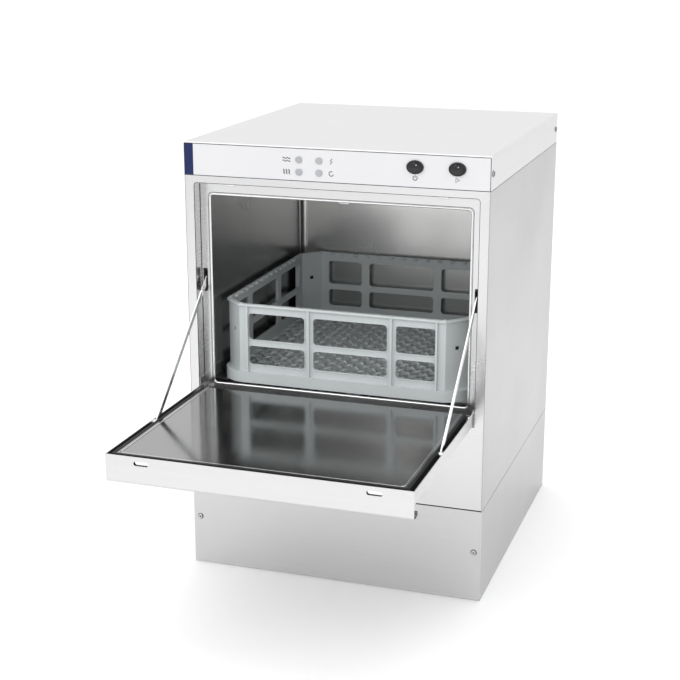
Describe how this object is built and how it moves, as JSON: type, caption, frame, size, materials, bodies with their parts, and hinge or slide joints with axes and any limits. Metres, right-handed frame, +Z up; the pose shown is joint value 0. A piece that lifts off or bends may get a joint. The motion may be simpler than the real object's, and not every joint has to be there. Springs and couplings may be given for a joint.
{
  "type": "commercial glasswasher",
  "caption": "Front-loading commercial glasswasher with a drop-down door lying open, stays, spray arms and a square plastic glass basket on rails.",
  "frame": {"origin": "centre of the flat underside", "axes": "+Z up; -Y the way the door faces; +X to the right seen from the front"},
  "size_m": [0.474, 0.852, 0.68],
  "materials": {
    "stainless_panel": "satin, polished smooth",
    "stainless_frame": "bright satin",
    "stainless_tub": "bright rolled",
    "stainless_liner": "near-mirror rolled",
    "bright_steel": "polished",
    "arm_steel": "satin",
    "fascia_white": "smooth film",
    "strip_navy": "smooth film",
    "lamp_lens": "clear satin",
    "button_black": "high gloss",
    "black_plastic": "fine texture",
    "rubber_black": "matte",
    "basket_plastic": "moulded satin",
    "brass_fitting": "machined",
    "motor_paint": "satin paint",
    "board_green": "solder mask",
    "grey_plastic": "moulded"
  },
  "bodies": {
    "cabinet": {"arm_retaining_nuts": "black_plastic", "base_front_panel": "stainless_panel", "base_pan": "stainless_frame", "base_shell": "stainless_panel", "boiler_heater": "black_plastic", "button_bezels": "black_plastic", "cable_gland": "black_plastic", "catch_housings": "black_plastic", "control_board": "board_green", "control_fascia": "fascia_white", "door_springs": "bright_steel", "door_switch": "black_plastic", "drain_outlet": "grey_plastic", "fascia_overlay": "fascia_white", "fascia_strip": "strip_navy", "front_frame": "stainless_frame", "hinge_brackets": "stainless_frame", "indicator_lamps": "lamp_lens", "inlet_valve": "brass_fitting", "lower_spindle": "arm_steel", "overflow_pipe": "stainless_tub", "panel_screws": "bright_steel", "pressure_switch": "black_plastic", "pump_motor": "motor_paint", "rack_rails": "stainless_tub", "rear_panel": "stainless_panel", "rinse_aid_doser": "grey_plastic", "rinse_boiler": "stainless_tub", "rinse_pipe": "arm_steel", "side_panel_left": "stainless_panel", "side_panel_right": "stainless_panel", "stay_guides": "black_plastic", "sump_strainer": "stainless_tub", "switch_blocks": "black_plastic", "tank_heater": "bright_steel", "terminal_box": "black_plastic", "top_cover": "stainless_panel", "tub_ceiling": "stainless_tub", "tub_floor": "stainless_tub", "upper_spindle": "arm_steel", "wash_hoses": "rubber_black", "wash_pump": "black_plastic", "wash_riser": "rubber_black", "wash_tub": "stainless_tub"},
    "door": {"door_outer_skin": "stainless_panel", "door_inner_liner": "stainless_liner", "door_gasket": "rubber_black", "door_hinge_pins": "bright_steel", "stay_pins": "bright_steel"},
    "stay_left": {"stay_left": "bright_steel"},
    "stay_right": {"stay_right": "bright_steel"},
    "catch_left": {"catch_left": "bright_steel"},
    "catch_right": {"catch_right": "bright_steel"},
    "on_off_button": {"on_off_button": "button_black"},
    "start_button": {"start_button": "button_black"},
    "basket": {"glass_basket": "basket_plastic"},
    "lower_wash_arm": {"lower_wash_arm": "arm_steel"},
    "lower_rinse_arm": {"lower_rinse_arm": "arm_steel"},
    "upper_wash_arm": {"upper_wash_arm": "arm_steel"},
    "upper_rinse_arm": {"upper_rinse_arm": "arm_steel"}
  },
  "joints": [
    {"name": "door_hinge", "type": "hinge", "parent": "cabinet", "child": "door", "pos_m": [0, -0.247, 0.287], "axis": [-1, 0, 0], "range_deg": [0, 90]},
    {"name": "stay_left_hinge", "type": "hinge", "parent": "door", "child": "stay_left", "pos_m": [-0.213, -0.425, 0.295], "axis": [-1, 0, 0], "range_deg": [-45, 0]},
    {"name": "stay_right_hinge", "type": "hinge", "parent": "door", "child": "stay_right", "pos_m": [0.213, -0.425, 0.295], "axis": [-1, 0, 0], "range_deg": [-45, 0]},
    {"name": "basket_slide", "type": "slide", "parent": "cabinet", "child": "basket", "axis": [0, 1, 0], "range_m": [-0.23, 0]},
    {"name": "on_off_press", "type": "slide", "parent": "cabinet", "child": "on_off_button", "axis": [0, 1, 0], "range_m": [0, 0.003], "stiffness_N_per_m": 1500, "springref_m": -0.001},
    {"name": "start_press", "type": "slide", "parent": "cabinet", "child": "start_button", "axis": [0, 1, 0], "range_m": [0, 0.003], "stiffness_N_per_m": 1500, "springref_m": -0.001},
    {"name": "catch_left_slide", "type": "slide", "parent": "cabinet", "child": "catch_left", "axis": [0, 0, 1], "range_m": [0, 0.005], "stiffness_N_per_m": 500, "springref_m": -0.001},
    {"name": "catch_right_slide", "type": "slide", "parent": "cabinet", "child": "catch_right", "axis": [0, 0, 1], "range_m": [0, 0.005], "stiffness_N_per_m": 500, "springref_m": -0.001},
    {"name": "lower_wash_arm_spin", "type": "hinge", "parent": "cabinet", "child": "lower_wash_arm", "pos_m": [0, -0.025, 0.27], "axis": [0, 0, 1], "continuous": true},
    {"name": "lower_rinse_arm_spin", "type": "hinge", "parent": "cabinet", "child": "lower_rinse_arm", "pos_m": [0, -0.025, 0.286], "axis": [0, 0, 1], "continuous": true},
    {"name": "upper_wash_arm_spin", "type": "hinge", "parent": "cabinet", "child": "upper_wash_arm", "pos_m": [0, -0.025, 0.597], "axis": [0, 0, 1], "continuous": true},
    {"name": "upper_rinse_arm_spin", "type": "hinge", "parent": "cabinet", "child": "upper_rinse_arm", "pos_m": [0, -0.025, 0.58], "axis": [0, 0, 1], "continuous": true}
  ],
  "couplings": [
    {"joint": "stay_left_hinge", "follows": "door_hinge", "ratio": -0.5},
    {"joint": "stay_right_hinge", "follows": "door_hinge", "ratio": -0.5}
  ]
}
